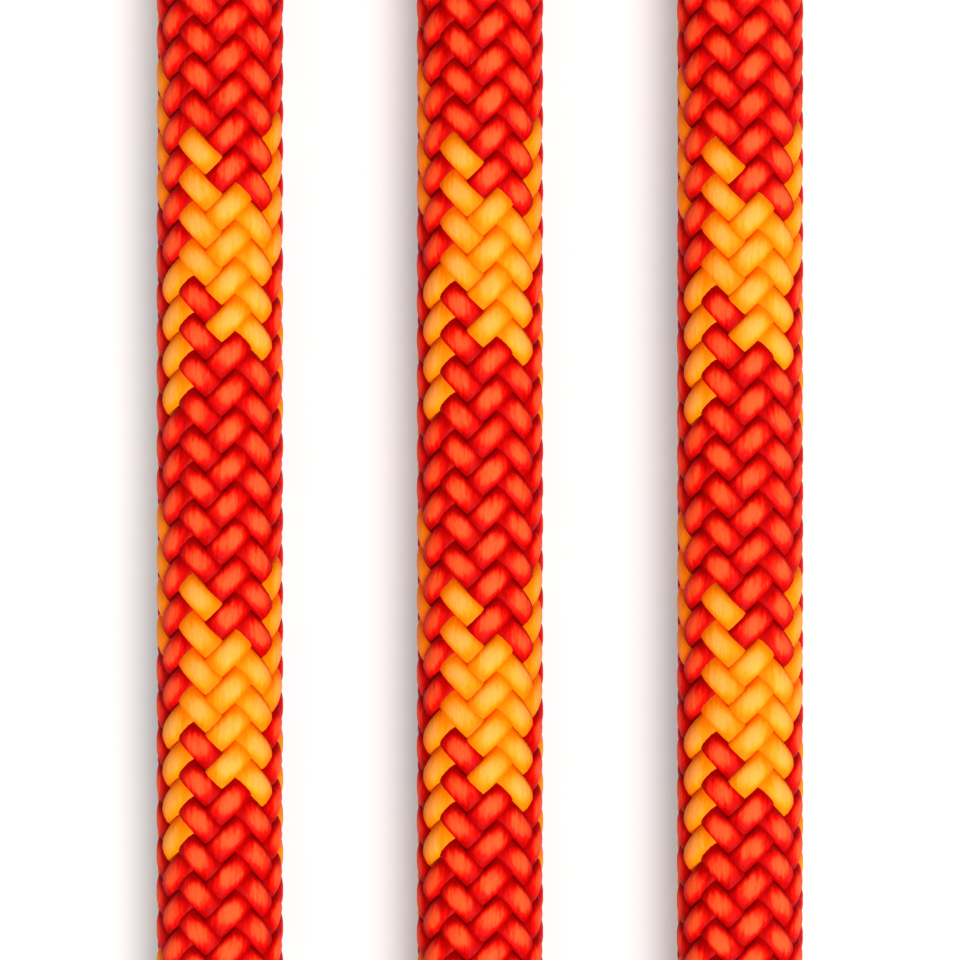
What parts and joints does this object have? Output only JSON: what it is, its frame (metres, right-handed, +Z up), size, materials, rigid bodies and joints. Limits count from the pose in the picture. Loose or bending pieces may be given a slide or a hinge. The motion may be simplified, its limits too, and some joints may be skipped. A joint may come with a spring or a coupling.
{
  "type": "dynamic climbing rope",
  "caption": "Single kernmantle climbing rope laid out in parallel straight runs, with the rest of its length in a round coil held by straps, and a shrink sleeve and fused tip on each end.",
  "frame": {"origin": "on the surface that the rope lies on, under the middle of the whole rope's box", "axes": "+Y along the straight runs, from the near end towards the coil; +Z up"},
  "size_m": [0.4072, 0.5938, 0.096],
  "materials": {
    "sheath_braid": "braided polyamide, red with yellow",
    "core_strand": "twisted polyamide, undyed",
    "marker_tape": "thin polyester ribbon",
    "shrink_sleeve": "satin heat-shrink",
    "fused_tip": "melted polyamide",
    "strap": "hook-and-loop webbing"
  },
  "bodies": {
    "root": {"sheath": "sheath_braid", "core_strand_middle": "core_strand", "core_strand_1": "core_strand", "core_strand_2": "core_strand", "core_strand_3": "core_strand", "core_strand_4": "core_strand", "core_strand_5": "core_strand", "core_strand_6": "core_strand", "marker_tape": "marker_tape", "near_end_sleeve": "shrink_sleeve", "near_end_tip": "fused_tip", "far_end_sleeve": "shrink_sleeve", "far_end_tip": "fused_tip", "coil_outer_turns": "sheath_braid", "coil_inner_turns": "sheath_braid", "coil_strap_1": "strap", "coil_strap_2": "strap", "coil_strap_3": "strap"}
  },
  "joints": []
}
